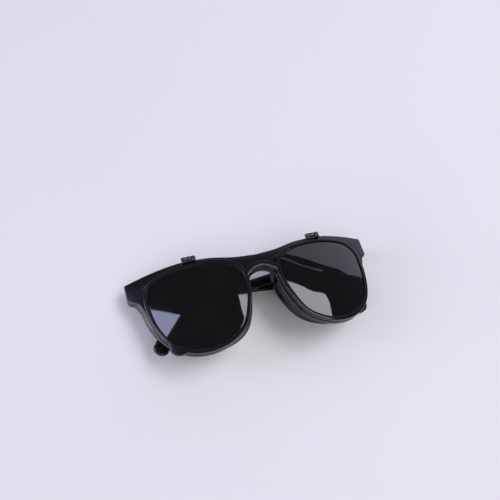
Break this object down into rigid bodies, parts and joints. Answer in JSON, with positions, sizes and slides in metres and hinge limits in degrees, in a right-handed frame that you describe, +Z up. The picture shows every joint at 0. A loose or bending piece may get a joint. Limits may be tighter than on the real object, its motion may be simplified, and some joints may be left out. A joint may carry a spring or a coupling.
{
  "type": "welding goggles",
  "caption": "Flip-up welding goggles with a clear inner front, a dark outer front on brow hinges and folding temples.",
  "frame": {"origin": "middle of the footprint, on the surface the folded goggles lie on", "axes": "+X along the front towards the wearer's left temple, +Y towards the brow, +Z up, out of the front"},
  "size_m": [0.1452, 0.055, 0.031],
  "materials": {
    "frame_plastic": "black injection-moulded plastic, satin gloss",
    "dark_filter": "polished near-black filter lens",
    "clear_lens": "polished clear polycarbonate",
    "hinge_metal": "blackened steel, worn bright on its edges"
  },
  "bodies": {
    "root": {"front_frame": "frame_plastic", "clear_lens_left": "clear_lens", "flip_hinge_base_left": "hinge_metal", "flip_hinge_pin_left": "hinge_metal", "front_leaf_left": "hinge_metal", "hinge_screw_left": "hinge_metal", "clear_lens_right": "clear_lens", "flip_hinge_base_right": "hinge_metal", "flip_hinge_pin_right": "hinge_metal", "front_leaf_right": "hinge_metal", "hinge_screw_right": "hinge_metal"},
    "flip": {"flip_frame": "frame_plastic", "dark_lens_left": "dark_filter", "flip_hinge_yoke_left": "hinge_metal", "dark_lens_right": "dark_filter", "flip_hinge_yoke_right": "hinge_metal"},
    "temple_left": {"temple_left": "frame_plastic", "temple_leaf_left": "hinge_metal"},
    "temple_right": {"temple_right": "frame_plastic", "temple_leaf_right": "hinge_metal"}
  },
  "joints": [
    {"name": "flip_up", "type": "hinge", "parent": "root", "child": "flip", "pos_m": [0, 0.02613, 0.0265], "axis": [-1, 0, 0], "range_deg": [0, 100]},
    {"name": "temple_left_open", "type": "hinge", "parent": "root", "child": "temple_left", "pos_m": [0.067, 0.02354, 0.0056], "axis": [0, -1, 0], "range_deg": [0, 93.6]},
    {"name": "temple_right_open", "type": "hinge", "parent": "root", "child": "temple_right", "pos_m": [-0.067, 0.02354, 0.0056], "axis": [0, 1, 0], "range_deg": [0, 90]}
  ]
}
